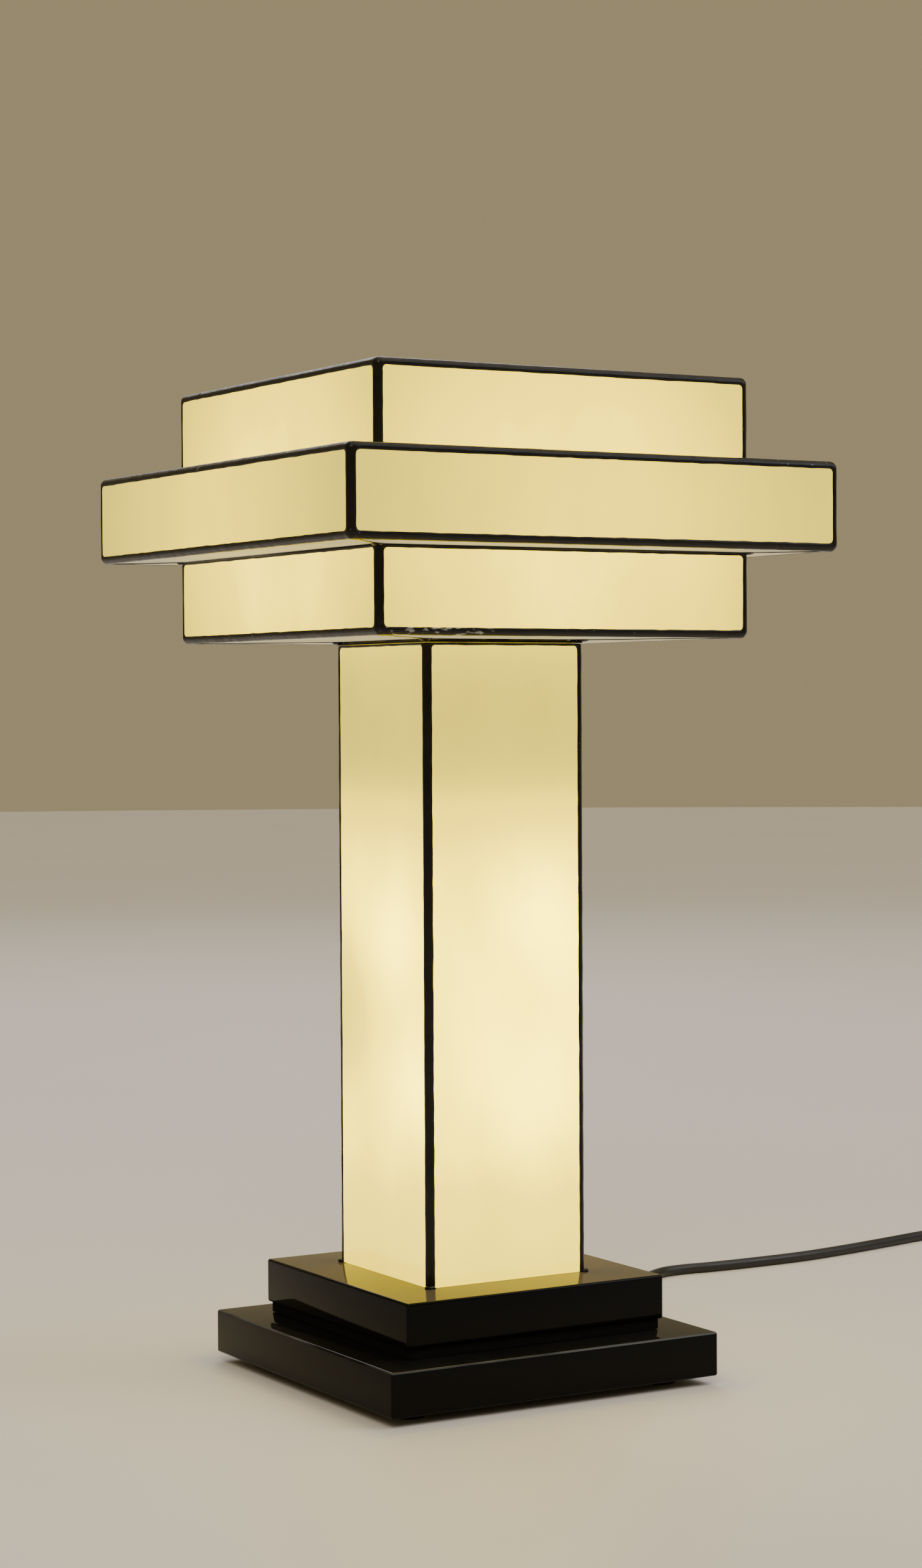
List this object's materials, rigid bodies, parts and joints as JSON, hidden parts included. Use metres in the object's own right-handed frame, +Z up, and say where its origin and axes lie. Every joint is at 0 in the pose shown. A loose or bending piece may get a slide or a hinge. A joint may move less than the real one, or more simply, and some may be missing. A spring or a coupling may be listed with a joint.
{
  "type": "stained glass table lamp",
  "caption": "Stepped opal glass shade of stacked square boxes with black soldered edges, on a lit square glass column and a stepped black lacquered base.",
  "frame": {"origin": "on the table under the middle of the lamp, at the feet's underside", "axes": "+Z up along the column, -Y the front face, +Y the side the cord leaves, +X to the right seen from the front"},
  "size_m": [0.7935, 0.3405, 0.4999],
  "materials": {
    "opal_glass": "fire-polished opal sheet, lit from inside",
    "black_solder": "hand-run solder bead with black patina",
    "black_lacquer": "high-gloss black lacquer",
    "black_board": "matt black board",
    "black_steel": "blackened sheet steel",
    "zinc_steel": "zinc-plated steel",
    "gland_rubber": "moulded soft black",
    "foot_rubber": "moulded rubber",
    "holder_plastic": "moulded phenolic",
    "rocker_plastic": "moulded nylon",
    "bulb_glass": "frosted bulb, lit",
    "cord_pvc": "smooth black sheath",
    "moulded_black": "fine-textured moulding"
  },
  "bodies": {
    "stand": {"lower_slab": "black_lacquer", "slab_spacer": "black_board", "upper_slab": "black_lacquer", "base_cover": "black_board", "base_nut": "zinc_steel", "centre_tube": "zinc_steel", "cord_gland": "gland_rubber", "foot_front_left": "foot_rubber", "foot_front_right": "foot_rubber", "foot_rear_left": "foot_rubber", "foot_rear_right": "foot_rubber", "column_frame": "black_solder", "column_locator": "black_board", "column_top_plate": "black_steel", "column_glass_front": "opal_glass", "column_glass_right": "opal_glass", "column_glass_back": "opal_glass", "column_glass_left": "opal_glass", "top_holder": "holder_plastic", "lower_arm": "zinc_steel", "lower_holder": "holder_plastic", "lower_bulb": "bulb_glass", "upper_arm": "zinc_steel", "upper_holder": "holder_plastic", "upper_bulb": "bulb_glass", "cord": "cord_pvc", "cord_coil": "cord_pvc", "plug": "moulded_black", "switch_body": "moulded_black"},
    "shade": {"top_glass": "opal_glass", "top_tier_frame": "black_solder", "middle_tier_frame": "black_solder", "lower_tier_frame": "black_solder", "opening_rim": "black_solder", "top_tier_glass_front": "opal_glass", "top_tier_glass_right": "opal_glass", "top_tier_glass_back": "opal_glass", "top_tier_glass_left": "opal_glass", "middle_tier_glass_front": "opal_glass", "middle_tier_glass_right": "opal_glass", "middle_tier_glass_back": "opal_glass", "middle_tier_glass_left": "opal_glass", "lower_tier_glass_front": "opal_glass", "lower_tier_glass_right": "opal_glass", "lower_tier_glass_back": "opal_glass", "lower_tier_glass_left": "opal_glass", "upper_step_glass_front": "opal_glass", "upper_step_glass_right": "opal_glass", "upper_step_glass_back": "opal_glass", "upper_step_glass_left": "opal_glass", "lower_step_glass_front": "opal_glass", "lower_step_glass_right": "opal_glass", "lower_step_glass_back": "opal_glass", "lower_step_glass_left": "opal_glass", "floor_glass_front": "opal_glass", "floor_glass_right": "opal_glass", "floor_glass_back": "opal_glass", "floor_glass_left": "opal_glass"},
    "top_bulb": {"top_bulb": "bulb_glass"},
    "rocker": {"switch_rocker": "rocker_plastic"}
  },
  "joints": [
    {"name": "shade_lift", "type": "slide", "parent": "stand", "child": "shade", "axis": [0, 0, 1], "range_m": [0, 0.14]},
    {"name": "top_bulb_unscrew", "type": "slide", "parent": "stand", "child": "top_bulb", "axis": [0, 0, 1], "range_m": [0, 0.018]},
    {"name": "switch_rock", "type": "hinge", "parent": "stand", "child": "rocker", "pos_m": [0.53, 0.19, 0.0178], "axis": [0, 1, 0], "range_deg": [0, 16]}
  ]
}
